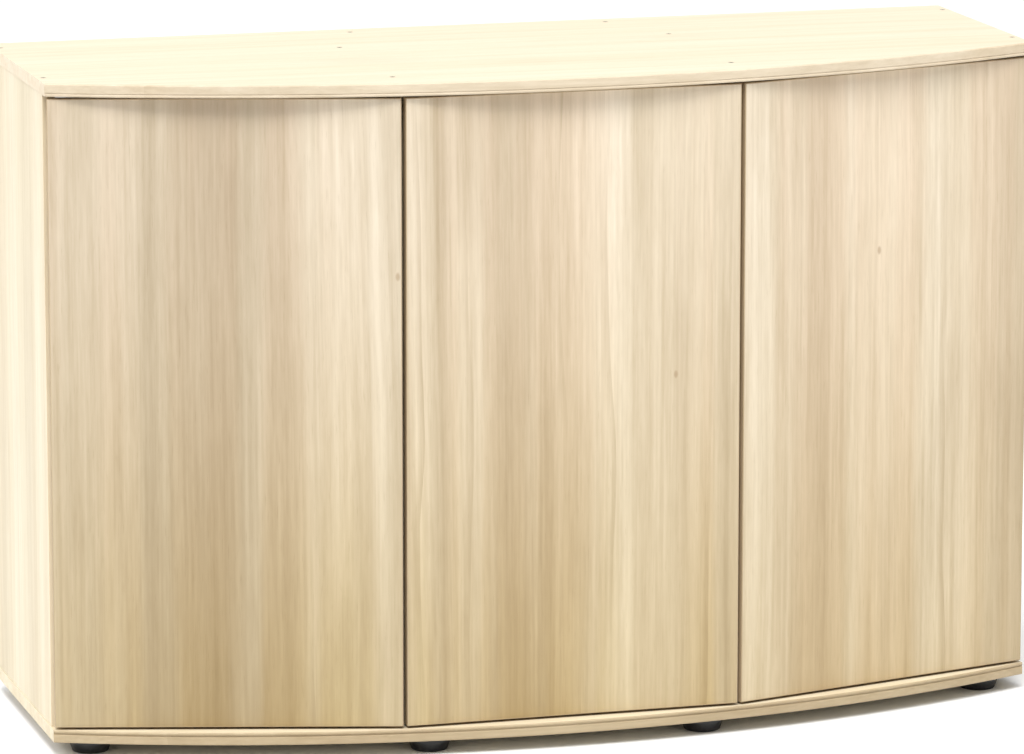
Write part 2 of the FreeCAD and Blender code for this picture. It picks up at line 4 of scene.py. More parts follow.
import bmesh
import bpy
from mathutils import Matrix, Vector


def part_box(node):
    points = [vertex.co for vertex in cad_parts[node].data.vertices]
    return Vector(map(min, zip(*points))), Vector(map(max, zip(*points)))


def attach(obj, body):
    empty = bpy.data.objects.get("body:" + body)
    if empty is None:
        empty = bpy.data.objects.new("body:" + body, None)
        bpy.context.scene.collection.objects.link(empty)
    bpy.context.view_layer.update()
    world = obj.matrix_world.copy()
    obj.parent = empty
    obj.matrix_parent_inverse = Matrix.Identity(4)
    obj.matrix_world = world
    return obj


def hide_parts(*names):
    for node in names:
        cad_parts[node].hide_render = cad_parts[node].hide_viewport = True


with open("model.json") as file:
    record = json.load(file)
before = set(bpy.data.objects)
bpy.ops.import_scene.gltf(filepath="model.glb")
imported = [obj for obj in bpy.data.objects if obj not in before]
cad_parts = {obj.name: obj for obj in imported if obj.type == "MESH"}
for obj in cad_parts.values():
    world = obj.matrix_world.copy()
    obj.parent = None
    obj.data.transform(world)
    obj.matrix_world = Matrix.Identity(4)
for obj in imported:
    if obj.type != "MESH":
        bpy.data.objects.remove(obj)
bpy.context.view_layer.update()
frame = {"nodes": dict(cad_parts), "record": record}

MM = 0.001
NODES = frame["nodes"]
JOINTS = {joint["name"]: joint for joint in frame["record"]["behaviour"]["joints"]}
SLOT_OF = {part["node"]: part["material_slot"] for part in frame["record"]["subparts"]}
BODY_OF = {
    node: body for body, nodes in frame["record"]["behaviour"]["bodies"].items() for node in nodes
}
SIDES = ("left", "middle", "right")

# The outer doors stand at this angle to the middle one; a latch plunger slides square to its door.
RIGHT_OUTWARD = Vector(JOINTS["right_plunger_slide"]["axis"])
SPLAY = math.atan2(RIGHT_OUTWARD.x, -RIGHT_OUTWARD.y)
DOOR_TURNS = (SPLAY, 0.0, -SPLAY)
SIDE_TURNS = {"left": -math.pi / 2, "right": math.pi / 2}


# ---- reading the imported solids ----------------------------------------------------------
def spots_of(node):
    return [vertex.co for vertex in NODES[node].data.vertices]


def centre_of(node):
    low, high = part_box(node)
    return (Vector(low) + Vector(high)) / 2


def face_ways(turn):
    """The ways across and into a face that stands at the given turn."""
    across = Vector((math.cos(turn), -math.sin(turn), 0))
    inward = Vector((math.sin(turn), math.cos(turn), 0))
    return across, inward


def left_edge_of(node, turn):
    """The node's leftmost place, measured along a face that stands at the given turn."""
    across, _ = face_ways(turn)
    return min(across.dot(spot) for spot in spots_of(node))


# ---- camera -----------------------------------------------------------------------------
CAMERA_PLACE = (-2.073, -7.184, 1.897)
CAMERA_YAW = math.radians(15.98)
CAMERA_PITCH = math.radians(11.30)
CAMERA_LENS = 222.7
CAMERA_SENSOR = 36
CAMERA_REACH = 60


def new_object(name, data):
    made = bpy.data.objects.new(name, data)
    bpy.context.collection.objects.link(made)
    return made


def make_camera():
    data = bpy.data.cameras.new("camera")
    data.lens = CAMERA_LENS
    data.sensor_width = CAMERA_SENSOR
    data.clip_end = CAMERA_REACH
    camera = new_object("camera", data)
    camera.location = CAMERA_PLACE
    camera.rotation_euler = (math.pi / 2 - CAMERA_PITCH, 0, -CAMERA_YAW)
    bpy.context.scene.camera = camera


# ---- material building ------------------------------------------------------------------
# The Mix node repeats its socket names for each kind of data; these are its colour sockets.
MIX_FIRST = 6
MIX_SECOND = 7
MIX_RESULT = 2


class Recipe:
    """Short calls for building one material's node tree.

    A pattern is the scale, detail and roughness of a noise: its scale is three numbers of
    features per metre.
    """

    def __init__(self, name):
        self.material = bpy.data.materials.new(name)
        self.material.use_nodes = True
        self.tree = self.material.node_tree
        self.shader = self.tree.nodes["Principled BSDF"]

    def node(self, kind, **settings):
        made = self.tree.nodes.new("ShaderNode" + kind)
        for key, value in settings.items():
            setattr(made, key, value)
        return made

    def link(self, source, target):
        self.tree.links.new(source, target)

    def feed(self, socket, value):
        if isinstance(value, bpy.types.NodeSocket):
            self.link(value, socket)
        else:
            socket.default_value = value

    def math(self, operation, first, second=0.0):
        made = self.node("Math", operation=operation)
        for socket, value in zip(made.inputs, (first, second)):
            self.feed(socket, value)
        return made.outputs[0]

    def swing(self, noise, reach):
        """A noise value moved to swing about zero, scaled by the given reach."""
        return self.math("MULTIPLY", self.math("SUBTRACT", noise, 0.5), reach)

    def split(self, vector):
        made = self.node("SeparateXYZ")
        self.link(vector, made.inputs[0])
        return made.outputs

    def join(self, *parts):
        made = self.node("CombineXYZ")
        for socket, part in zip(made.inputs, parts):
            self.link(part, socket)
        return made.outputs[0]

    def mix(self, factor, first, second, blend="MIX"):
        made = self.node("Mix", data_type="RGBA", blend_type=blend)
        self.feed(made.inputs["Factor"], factor)
        for index, value in ((MIX_FIRST, first), (MIX_SECOND, second)):
            opaque = value if isinstance(value, bpy.types.NodeSocket) else (*value, 1)
            self.feed(made.inputs[index], opaque)
        return made.outputs[MIX_RESULT]

    def remap(self, value, low, high, to_low=0.0, to_high=1.0):
        made = self.node("MapRange", interpolation_type="SMOOTHSTEP")
        for socket, given in zip(made.inputs, (value, low, high, to_low, to_high)):
            self.feed(socket, given)
        return made.outputs["Result"]

    def place(self, turn=0.0, offset=(0, 0, 0)):
        """Coordinates in metres, turned about the upright and moved to a fresh patch of pattern."""
        where = self.node("TexCoord").outputs["Object"]
        mapping = self.node("Mapping")
        mapping.inputs["Rotation"].default_value = (0, 0, turn)
        mapping.inputs["Location"].default_value = offset
        self.link(where, mapping.inputs["Vector"])
        return mapping.outputs["Vector"]

    def noise(self, vector, scale, detail=2.0, rough=0.5):
        """Noise in 0 to 1."""
        mapping = self.node("Mapping")
        mapping.inputs["Scale"].default_value = scale
        self.link(vector, mapping.inputs["Vector"])
        made = self.node("TexNoise")
        made.inputs["Scale"].default_value = 1.0
        made.inputs["Detail"].default_value = detail
        made.inputs["Roughness"].default_value = rough
        self.link(mapping.outputs["Vector"], made.inputs["Vector"])
        return made.outputs["Fac"]

    def bump(self, height, depth, strength):
        made = self.node("Bump")
        made.inputs["Strength"].default_value = strength
        made.inputs["Distance"].default_value = depth
        self.link(height, made.inputs["Height"])
        self.link(made.outputs["Normal"], self.shader.inputs["Normal"])

    def surface(self, colour, rough, follow, sheen):
        """Colour, and a roughness that follows a value; sheen says how (see WOOD_SHEEN)."""
        low, high, at_low, at_high = sheen
        self.link(colour, self.shader.inputs["Base Color"])
        self.link(self.remap(follow, low, high, rough + at_low, rough + at_high),
                  self.shader.inputs["Roughness"])


# ---- wood -------------------------------------------------------------------------------
# The axes across the grain, through the board and along the grain, by the axis the grain follows.
AXES = {"x": ("Y", "Z", "X"), "z": ("X", "Y", "Z")}

# How the grain wanders sideways, slowly and quickly: (scale, detail, reach in metres).
WANDERS = (
    ((2.3, 2.3, 0.55), 1.0, 0.050),
    ((11, 11, 2.2), 2.0, 0.0015),
)

# Streaks across the grain: (streaks per metre across, per metre along, detail, strength).
STREAKS = (
    (12, 0.3, 1.0, 0.20),
    (26, 0.6, 1.0, 0.25),
    (52, 1.0, 1.0, 0.25),
    (60, 5.0, 1.0, 0.06),
    (105, 1.8, 1.0, 0.22),
    (110, 10.0, 1.0, 0.11),
    (250, 4.0, 1.0, 0.26),
    (270, 26.0, 1.0, 0.15),
    (700, 16.0, 2.0, 0.12),
)
STREAK_ROUGHNESS = 0.55

# How strongly a streak darkens red, green and blue: a dark streak is browner than its board.
STREAK_COLOUR = (0.86, 1.0, 1.28)

# Growth lines are the dark sides of a slow wave; they show where a patchy noise is high.
GROWTH_WAVE = {"Scale": 5.2, "Distortion": 1.6, "Detail": 1.0, "Detail Scale": 0.6}
GROWTH_LINE = (0.80, 1.0)
GROWTH_PATCHES = ((7, 7, 1.1), 1.0)
GROWTH_PATCH_RANGE = (0.50, 0.66)
GROWTH_STRENGTH = 0.32

# Soft changes between a wood's light and blush tones, and darker blotches.
HUE_PATTERN = ((17, 17, 0.5), 2.0, 0.55)
HUE_RANGE = (0.38, 0.64)
BLOTCH_PATTERN = ((9, 9, 2.2), 2.0, 0.6)
BLOTCH_RANGE = (0.50, 0.75)
BLOTCH_STRENGTH = 0.22

# Painted shade: a door darkens from the first height down to the second, standing in for light that
# falls off towards the floor, unevenly with its hue.
PAINTED_LOW_SHADE_HEIGHTS = (0.80, -0.10)
PAINTED_LOW_SHADE_UNEVEN = (0.80, 1.16)

# Short dark pores.
PORE_PATTERN = ((1100, 1100, 42), 1.0)
PORE_RANGE = (0.64, 0.76)
PORE_SHADE = 0.90

# A knot is longer than wide, and covers the board's colour by this much.
KNOT_STRETCH = 1.9
KNOT_STRENGTH = 0.55

# How roughness follows a value: the value's low and high, and the change in roughness there.
WOOD_SHEEN = (0.94, 1.06, 0.06, -0.05)
WOOD_ROUGH = 0.46
WOOD_SPECULAR = 0.42
WOOD_RELIEF = 0.25 * MM
WOOD_RELIEF_STRENGTH = 0.4
PORE_RELIEF_SHARE = 0.6


def grain_space(recipe, grain, turn, offset):
    """Coordinates across, through and along the grain: with its wander, and without."""
    parts = recipe.split(recipe.place(turn, offset))
    across, depth, along = [parts[axis] for axis in AXES[grain]]
    straight = recipe.join(across, depth, along)
    drift, shake = [
        recipe.swing(recipe.noise(straight, scale, detail), reach)
        for scale, detail, reach in WANDERS
    ]
    moved = recipe.math("ADD", across, recipe.math("ADD", drift, shake))
    return recipe.join(moved, depth, along), straight


def knot_mask(recipe, straight, knots):
    """A soft dark spot for each knot, given as (across, along, radius) in metres."""
    parts = recipe.split(straight)
    total = None
    for across, along, radius in knots:
        dx = recipe.math("DIVIDE", recipe.math("SUBTRACT", parts["X"], across), radius)
        dz = recipe.math("SUBTRACT", parts["Z"], along)
        dz = recipe.math("DIVIDE", dz, radius * KNOT_STRETCH)
        square = recipe.math("ADD", recipe.math("MULTIPLY", dx, dx), recipe.math("MULTIPLY", dz, dz))
        spot = recipe.remap(square, 0.0, 1.0, 1.0, 0.0)
        total = spot if total is None else recipe.math("MAXIMUM", total, spot)
    return total


def hump(recipe, across, centre, half):
    """1 along the middle of a band, falling softly to 0 at its two sides."""
    away = recipe.math("ABSOLUTE", recipe.math("SUBTRACT", across, centre))
    return recipe.remap(away, 0.0, half, 1.0, 0.0)


def band_sum(recipe, across, bands):
    """The strength of all bands together, each given as (middle, half width, strength)."""
    total = 0.0
    for centre, half, amount in bands:
        band = recipe.math("MULTIPLY", hump(recipe, across, centre, half), amount)
        total = recipe.math("ADD", band, total)
    return total


def grain_shade(recipe, space, contrast):
    """One number about 1 that carries every streak, from broad to as fine as a fibre."""
    shade = 1.0
    for across, along, detail, strength in STREAKS:
        streak = recipe.noise(space, (across, across, along), detail, STREAK_ROUGHNESS)
        shade = recipe.math("ADD", recipe.swing(streak, strength * contrast), shade)
    return shade


def growth_lines(recipe, space, contrast):
    """Thin lines, dark on one side, that come and go over the board."""
    wave = recipe.node("TexWave", wave_type="BANDS", bands_direction="X", wave_profile="SAW")
    for socket, value in GROWTH_WAVE.items():
        wave.inputs[socket].default_value = value
    recipe.link(space, wave.inputs["Vector"])
    line = recipe.remap(wave.outputs["Fac"], *GROWTH_LINE)
    patches = recipe.noise(space, *GROWTH_PATCHES)
    showing = recipe.remap(patches, *GROWTH_PATCH_RANGE, 0.0, GROWTH_STRENGTH * contrast)
    return recipe.math("MULTIPLY", line, showing)


def wood(name, tones, grain, turn, offset, contrast=1.0, rough=WOOD_ROUGH,
         knots=(), dark_bands=(), pale_bands=(), painted_low_shade=0.0):
    """Light-wood decor: broad soft bands, growth lines, streaks, fibres and pores."""
    recipe = Recipe(name)
    light, blush, line = tones
    space, straight = grain_space(recipe, grain, turn, offset)
    across = recipe.split(space)["X"]

    hue = recipe.noise(space, *HUE_PATTERN)
    colour = recipe.mix(recipe.remap(hue, *HUE_RANGE), light, blush)
    if dark_bands:
        colour = recipe.mix(
            band_sum(recipe, across, dark_bands), colour, DARK_BAND_TINT, "MULTIPLY")
    if pale_bands:
        colour = recipe.mix(band_sum(recipe, across, pale_bands), colour, PALE_BAND_TONE)
    blotch = recipe.noise(space, *BLOTCH_PATTERN)
    blotch = recipe.remap(blotch, *BLOTCH_RANGE, 0.0, BLOTCH_STRENGTH * contrast)
    colour = recipe.mix(blotch, colour, DARK_BAND_TINT, "MULTIPLY")
    colour = recipe.mix(growth_lines(recipe, space, contrast), colour, line)
    # Painted shade: the door darkens towards the floor, where less light reaches it.
    if painted_low_shade:
        height = recipe.split(recipe.place())["Z"]
        low_shade_mask = recipe.remap(height, *PAINTED_LOW_SHADE_HEIGHTS, 0.0, painted_low_shade)
        uneven = recipe.remap(hue, *HUE_RANGE, *PAINTED_LOW_SHADE_UNEVEN)
        colour = recipe.mix(
            recipe.math("MULTIPLY", low_shade_mask, uneven), colour, PAINTED_LOW_SHADE_TINT, "MULTIPLY")

    pores = recipe.remap(recipe.noise(space, *PORE_PATTERN), *PORE_RANGE, 1.0, PORE_SHADE)
    shade = recipe.math("MULTIPLY", grain_shade(recipe, space, contrast), pores)
    change = recipe.math("SUBTRACT", shade, 1.0)
    tint = recipe.join(*[
        recipe.math("ADD", recipe.math("MULTIPLY", change, share), 1.0) for share in STREAK_COLOUR
    ])
    colour = recipe.mix(1.0, colour, tint, "MULTIPLY")
    if knots:
        spots = recipe.math("MULTIPLY", knot_mask(recipe, straight, knots), KNOT_STRENGTH)
        colour = recipe.mix(spots, colour, KNOT_TONE)
    recipe.surface(colour, rough, shade, WOOD_SHEEN)
    recipe.shader.inputs["Specular IOR Level"].default_value = WOOD_SPECULAR
    relief = recipe.math("ADD", shade, recipe.math("MULTIPLY", pores, PORE_RELIEF_SHARE))
    recipe.bump(relief, WOOD_RELIEF, WOOD_RELIEF_STRENGTH)
    return recipe.material


# ---- steel and plastic ------------------------------------------------------------------
# Clouds in the plating of steel.
CLOUD_PATTERN = ((60, 60, 60), 3.0)
CLOUD_RANGE = (0.35, 0.70)
CLOUD_SHADE = 0.80
DRAW_SHARE = 0.6
STEEL_SHEEN = (0.25, 0.75, -0.08, 0.10)
STEEL_RELIEF = 0.04 * MM
STEEL_RELIEF_STRENGTH = 0.3

# Grit on moulded plastic, and scuffs that are paler than the rest.
GRIT_PATTERN = ((900, 900, 900), 2.0)
SCUFF_PATTERN = ((35, 35, 35), 4.0, 0.65)
SCUFF_RANGE = (0.55, 0.80)
SCUFF_STRENGTH = 0.6
SCUFF_GAIN = 1.5
SCUFF_LIFT = 0.012
PLASTIC_SHEEN = (0.3, 0.8, -0.05, 0.15)
PLASTIC_RELIEF = 0.08 * MM
PLASTIC_RELIEF_STRENGTH = 0.4


def steel(name, colour, rough, draw_lines):
    """Plated steel with faint draw lines and cloudy plating."""
    recipe = Recipe(name)
    where = recipe.place()
    draw = recipe.noise(where, draw_lines)
    cloud = recipe.noise(where, *CLOUD_PATTERN)
    dull = tuple(part * CLOUD_SHADE for part in colour)
    tone = recipe.mix(recipe.remap(cloud, *CLOUD_RANGE), colour, dull)
    both = recipe.math("ADD", recipe.math("MULTIPLY", draw, DRAW_SHARE),
                       recipe.math("MULTIPLY", cloud, 1 - DRAW_SHARE))
    recipe.surface(tone, rough, both, STEEL_SHEEN)
    recipe.shader.inputs["Metallic"].default_value = 1.0
    recipe.bump(draw, STEEL_RELIEF, STEEL_RELIEF_STRENGTH)
    return recipe.material


def plastic(name, colour, rough):
    """Moulded plastic with a fine spark-eroded grain and slight scuffing."""
    recipe = Recipe(name)
    where = recipe.place()
    scuff = recipe.noise(where, *SCUFF_PATTERN)
    worn = tuple(min(1.0, part * SCUFF_GAIN + SCUFF_LIFT) for part in colour)
    tone = recipe.mix(recipe.remap(scuff, *SCUFF_RANGE, 0.0, SCUFF_STRENGTH), colour, worn)
    recipe.surface(tone, rough, scuff, PLASTIC_SHEEN)
    recipe.bump(recipe.noise(where, *GRIT_PATTERN), PLASTIC_RELIEF, PLASTIC_RELIEF_STRENGTH)
    return recipe.material


# ---- colours ----------------------------------------------------------------------------
# Each wood is (light, blush, line): its palest tone, its pinkish tone and the tone of its thin
# dark lines, as linear colour.
DOOR_TONES = ((0.655, 0.550, 0.403), (0.660, 0.536, 0.390), (0.36, 0.26, 0.14))
# The door bands carry the doors' own decor, darkened as painted shade so that the gaps between the
# doors, where these bands show, look dark.
DOOR_BAND_SHADED_TONES = ((0.44, 0.34, 0.21), (0.42, 0.31, 0.19), (0.28, 0.20, 0.11))
CARCASS_TONES = ((0.720, 0.630, 0.452), (0.710, 0.604, 0.425), (0.54, 0.42, 0.26))
TOP_TONES = ((0.715, 0.615, 0.460), (0.705, 0.592, 0.432), (0.54, 0.42, 0.26))
BAND_TONES = ((0.63, 0.53, 0.385), (0.61, 0.50, 0.35), (0.42, 0.32, 0.19))
# The upright bands are paler than the boards they edge: painted light, lifting the side panels' front
# edges where they sit in shade beside the doors.
UPRIGHT_BAND_LIT_TONES = ((0.79, 0.68, 0.49), (0.77, 0.65, 0.46), (0.62, 0.49, 0.32))
BASE_BAND_TONES = ((0.46, 0.365, 0.225), (0.445, 0.345, 0.21), (0.31, 0.23, 0.125))
BACK_TONES = ((0.70, 0.625, 0.48), (0.68, 0.595, 0.45), (0.55, 0.45, 0.30))
BEECH_TONES = ((0.60, 0.42, 0.25), (0.55, 0.37, 0.22), (0.33, 0.20, 0.10))
DARK_BAND_TINT = (0.62, 0.56, 0.47)
PAINTED_LOW_SHADE_TINT = (0.65, 0.585, 0.36)
PALE_BAND_TONE = (0.77, 0.675, 0.53)
KNOT_TONE = (0.34, 0.22, 0.12)

# The decor of each door: bands as (middle, half width, strength) and knots as (across, height,
# radius), in metres from the door's left edge and from the floor.
DARK_BANDS = {
    "left": ((0.115, 0.020, 0.30), (0.200, 0.105, 0.46)),
    "middle": ((0.040, 0.018, 0.28), (0.126, 0.070, 0.34), (0.342, 0.016, 0.18), (0.400, 0.022, 0.2)),
    "right": ((0.086, 0.065, 0.38), (0.409, 0.085, 0.62)),
}
PALE_BANDS = {
    "left": ((0.343, 0.070, 0.42),),
    "middle": ((0.264, 0.040, 0.60), (0.010, 0.018, 0.5)),
    "right": ((0.010, 0.035, 0.55), (0.140, 0.014, 0.40), (0.268, 0.034, 0.50)),
}
SIDE_DARK_BANDS = ((0.016, 0.020, 0.14), (0.100, 0.070, 0.36), (0.262, 0.060, 0.30))
SIDE_PALE_BANDS = ((0.045, 0.030, 0.40), (0.180, 0.045, 0.45))
DOOR_KNOTS = {
    "left": ((0.404, 0.573, 0.0034),),
    "middle": ((0.328, 0.440, 0.0032),),
    "right": ((0.192, 0.566, 0.0034),),
}

# Each door's painted light (its tones scaled darker on the left door and lighter on the right, as
# light falling from the right would leave them), how much painted shade darkens it towards the floor,
# and its own patch of pattern.
DOOR_PAINTED_LIGHT = {"left": 0.885, "middle": 0.985, "right": 1.03}
DOOR_PAINTED_LOW_SHADE = {"left": 0.85, "middle": 0.85, "right": 0.66}
DOOR_PATCH = {"left": (0.0, 0.0, 3.1), "middle": (4.7, 0.3, 0.4), "right": (9.2, 0.6, 6.8)}
DOOR_BAND_PATCH = (1.7, 2.3, 0.9)
DOOR_BAND_CONTRAST = 0.7
SIDE_PATCH = (0.9, 1.4)
SIDE_CONTRAST = 0.50

# The woods without bands or knots: (tones, grain, patch of pattern, contrast, roughness).
PLAIN_WOODS = {
    "upright_decor": (CARCASS_TONES, "z", (1.3, 2.7, 0.2), 0.6, WOOD_ROUGH),
    "level_decor": (CARCASS_TONES, "x", (0.4, 1.9, 5.2), 0.6, WOOD_ROUGH),
    "top_decor": (TOP_TONES, "x", (0.4, 1.9, 5.2), 0.55, WOOD_ROUGH),
    # Painted light: the upright bands are made paler than the boards they edge.
    "upright_band_lit_decor": (UPRIGHT_BAND_LIT_TONES, "z", (3.3, 0.8, 1.1), 0.8, WOOD_ROUGH),
    "top_band_decor": (BAND_TONES, "x", (2.2, 5.1, 3.7), 0.8, WOOD_ROUGH),
    "base_band_decor": (BASE_BAND_TONES, "x", (6.1, 5.1, 0.7), 0.8, WOOD_ROUGH),
    "thin_board_decor": (BACK_TONES, "z", (7.7, 1.4, 2.2), 0.5, 0.6),
    "beech": (BEECH_TONES, "z", (0, 0, 0), 1.0, 0.6),
}

# Steels as (colour, roughness, scale of the draw lines), plastics as (colour, roughness).
STEELS = {
    "plated_steel": ((0.72, 0.71, 0.69), 0.30, (40, 40, 900)),
    "screw_steel": ((0.40, 0.41, 0.36), 0.58, (700, 700, 700)),
}
PLASTICS = {
    "foot_plastic": ((0.012, 0.012, 0.013), 0.38),
    "latch_plastic": ((0.42, 0.42, 0.41), 0.45),
    "plunger_plastic": ((0.10, 0.10, 0.105), 0.42),
}


def door_decor(side, turn):
    """A door's own decor, with its bands and knots in their places."""
    patch = Vector(DOOR_PATCH[side])
    offset = patch - Vector((left_edge_of(side + "_door_edge_bands", turn), 0, 0))
    # Painted light and shade: the door's tones are scaled by its painted light, and it darkens
    # towards the floor by its painted shade.
    tones = [tuple(part * DOOR_PAINTED_LIGHT[side] for part in tone) for tone in DOOR_TONES]
    return wood(
        side + "_door_decor", tones, "z", turn, offset,
        knots=[(x + patch.x, z + patch.z, radius) for x, z, radius in DOOR_KNOTS[side]],
        dark_bands=[(x + patch.x, half, amount) for x, half, amount in DARK_BANDS[side]],
        pale_bands=[(x + patch.x, half, amount) for x, half, amount in PALE_BANDS[side]],
        painted_low_shade=DOOR_PAINTED_LOW_SHADE[side])


def side_decor(side, turn):
    """The carcass decor with broad bands across a side panel's depth."""
    offset = Vector((-left_edge_of(side + "_side_panel", turn), *SIDE_PATCH))
    return wood(side + "_side_decor", CARCASS_TONES, "z", turn, offset, SIDE_CONTRAST,
                dark_bands=SIDE_DARK_BANDS, pale_bands=SIDE_PALE_BANDS)


def make_materials():
    made = {}
    for side, turn in zip(SIDES, DOOR_TURNS):
        made[side + "_door_decor"] = door_decor(side, turn)
        band = side + "_door_band_shaded_decor"
        # Painted shade: the door bands are darkened so that the gaps between the doors look dark.
        made[band] = wood(band, DOOR_BAND_SHADED_TONES, "z", turn, DOOR_BAND_PATCH, DOOR_BAND_CONTRAST)
    for side, turn in SIDE_TURNS.items():
        made[side + "_side_decor"] = side_decor(side, turn)
    for name, (tones, grain, patch, contrast, rough) in PLAIN_WOODS.items():
        made[name] = wood(name, tones, grain, 0.0, patch, contrast, rough)
    for name, look in STEELS.items():
        made[name] = steel(name, *look)
    for name, look in PLASTICS.items():
        made[name] = plastic(name, *look)
    return made


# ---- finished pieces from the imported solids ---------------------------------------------
def adopt(piece, node, material):
    """The piece rides where the node does, takes its slot and stands for it."""
    piece.data.materials.clear()
    piece.data.materials.append(material)
    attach(piece, BODY_OF[node])
    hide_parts(node)


# Slots that small pieces have, each with a material of the same name.
SMALL_PIECE_SLOTS = ("foot_plastic", "plunger_plastic", "plated_steel", "screw_steel", "beech")

# An arris is a long outer edge. A softened piece is welded, freed of the edges inside its flat
# faces, and rounded along its arrises. A finished piece is shaded sharp past its crease angle.
WELD = 0.005 * MM
SAME_PLACE = 0.01 * MM
FLAT_ANGLE = math.radians(0.6)
ARRIS_ANGLE = math.radians(40)
ROUNDING_STEPS = 3
ROUND_PROFILE = 0.5
SEAM_CLEARANCE = 1.2 * MM
SOFTENED_CREASE = math.radians(35)
SWEPT_CREASE = math.radians(40)

# The radius an arris is rounded to, and the shortest edge that counts as one.
BOARD_RADIUS = 0.4 * MM
HARDWARE_RADIUS = 0.35 * MM
LONG_ARRIS = 200 * MM
BOARD_ARRIS = 30 * MM
STRIP_ARRIS = 9 * MM
HARDWARE_ARRIS = 4 * MM
FORWARD = Vector((0, -1, 0))

DOOR_BAND_RADIUS = 0.8 * MM
DOOR_BAND_STEPS = 4

# The bowed edge band has a small bead on the side of the doors, set off by a narrow quirk.
BOWED_BAND_THICKNESS = 2 * MM
BEAD_HEIGHT = 3.4 * MM
BEAD_BULGE = 0.8 * MM
BEAD_STEPS = 6
QUIRK_WIDTH = {"top": 0.8 * MM, "base": 1.8 * MM}
QUIRK_DEPTH = {"top": 0.7 * MM, "base": 1.5 * MM}
QUIRK_SLOPE = 0.1 * MM
QUIRK_ROLL = 0.5 * MM
QUIRK_STEPS = 3
FACE_ROLL = 2.0 * MM
FACE_STEPS = 6
BOW_STEPS = 120


def show(mesh, node, material, crease):
    """Makes the mesh into the finished piece that stands for the node."""
    data = bpy.data.meshes.new(node + "_shown")
    mesh.to_mesh(data)
    mesh.free()
    piece = new_object(node + "_shown", data)
    data.shade_smooth()
    data.set_sharp_from_angle(angle=crease)
    even = piece.modifiers.new("even_normals", "WEIGHTED_NORMAL")
    even.keep_sharp = True
    adopt(piece, node, material)


def is_seam(face, seam_towards):
    """Whether the face looks towards the seam with the piece that it touches."""
    return (seam_towards - face.calc_center_median()).dot(face.normal) > SEAM_CLEARANCE


def arris_edges(mesh, shortest, seam_towards):
    """Long sharp outer edges, leaving out those along a seam."""
    chosen = []
    for edge in mesh.edges:
        if len(edge.link_faces) != 2 or edge.calc_face_angle(0.0) < ARRIS_ANGLE:
            continue
        if not edge.is_convex or edge.calc_length() < shortest:
            continue
        if seam_towards is not None and any(is_seam(face, seam_towards) for face in edge.link_faces):
            continue
        chosen.append(edge)
    return chosen


def softened(node, material, radius, shortest, seam_towards=None):
    """The node's solid again, with its long arrises rounded over."""
    mesh = bmesh.new()
    mesh.from_mesh(NODES[node].data)
    bmesh.ops.remove_doubles(mesh, verts=mesh.verts, dist=WELD)
    bmesh.ops.dissolve_limit(mesh, angle_limit=FLAT_ANGLE, verts=mesh.verts, edges=mesh.edges)
    chosen = arris_edges(mesh, shortest, seam_towards)
    bmesh.ops.bevel(
        mesh, geom=chosen, offset=radius, segments=ROUNDING_STEPS, profile=ROUND_PROFILE,
        affect="EDGES", clamp_overlap=True)
    show(mesh, node, material, SOFTENED_CREASE)


def arc_points(centre, radius, start, end, steps):
    """Points of an arc in the profile's plane, angles in degrees."""
    angles = [math.radians(start + (end - start) * step / steps) for step in range(steps + 1)]
    return [
        (centre[0] + radius * math.cos(angle), centre[1] + radius * math.sin(angle))
        for angle in angles
    ]


def skin(mesh, rings, closed):
    """Faces from each ring of vertices to the next; an open row of rings gets two end faces."""
    following = rings[1:] + rings[:1] if closed else rings[1:]
    for near, far in zip(rings, following):
        for index in range(len(near)):
            after = (index + 1) % len(near)
            mesh.faces.new((near[index], near[after], far[after], far[index]))
    if not closed:
        mesh.faces.new(rings[0])
        mesh.faces.new(rings[-1])
    bmesh.ops.recalc_face_normals(mesh, faces=mesh.faces)


def band_profile(thickness, height, quirk_width, quirk_depth):
    """Outline of the band as (depth behind its front, height above the bead's side)."""
    half = BEAD_HEIGHT / 2
    bead_radius = (half ** 2 + BEAD_BULGE ** 2) / (2 * BEAD_BULGE)
    spread = math.degrees(math.asin(half / bead_radius))
    quirk_top = BEAD_HEIGHT + quirk_width
    points = [(thickness, 0)]
    points += arc_points(
        (bead_radius, half), bead_radius, 180 + spread, 180 - spread, BEAD_STEPS)
    points += [(quirk_depth, BEAD_HEIGHT + QUIRK_SLOPE), (quirk_depth, quirk_top - QUIRK_SLOPE)]
    points += arc_points((QUIRK_ROLL, quirk_top + QUIRK_ROLL), QUIRK_ROLL, 270, 180, QUIRK_STEPS)
    points += arc_points((FACE_ROLL, height - FACE_ROLL), FACE_ROLL, 180, 90, FACE_STEPS)
    return points


def bow_of(node):
    """Half width, front and radius of a bowed band, from its vertices."""
    spots = spots_of(node)
    half_width = max(spot.x for spot in spots)
    front = min(spot.y for spot in spots)
    corner = min(spot.y for spot in spots if spot.x > half_width - SAME_PLACE)
    sagitta = corner - front
    return half_width, front, (half_width ** 2 + sagitta ** 2) / (2 * sagitta)


def bowed_band(level, material):
    """The band's profile swept along the bow; the top's bead is below, the base's above."""
    node = level + "_edge_band"
    low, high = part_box(node)
    half_width, front, radius = bow_of(node)
    profile = band_profile(
        BOWED_BAND_THICKNESS, high[2] - low[2], QUIRK_WIDTH[level], QUIRK_DEPTH[level])
    mesh = bmesh.new()
    rings = []
    for step in range(BOW_STEPS + 1):
        x = half_width * (2 * step / BOW_STEPS - 1)
        ring = []
        for depth, height in profile:
            reach = radius - depth
            y = front + radius - math.sqrt(reach ** 2 - x ** 2)
            z = low[2] + height if level == "top" else high[2] - height
            ring.append(mesh.verts.new((x, y, z)))
        rings.append(ring)
    skin(mesh, rings, closed=False)
    show(mesh, node, material, SWEPT_CREASE)


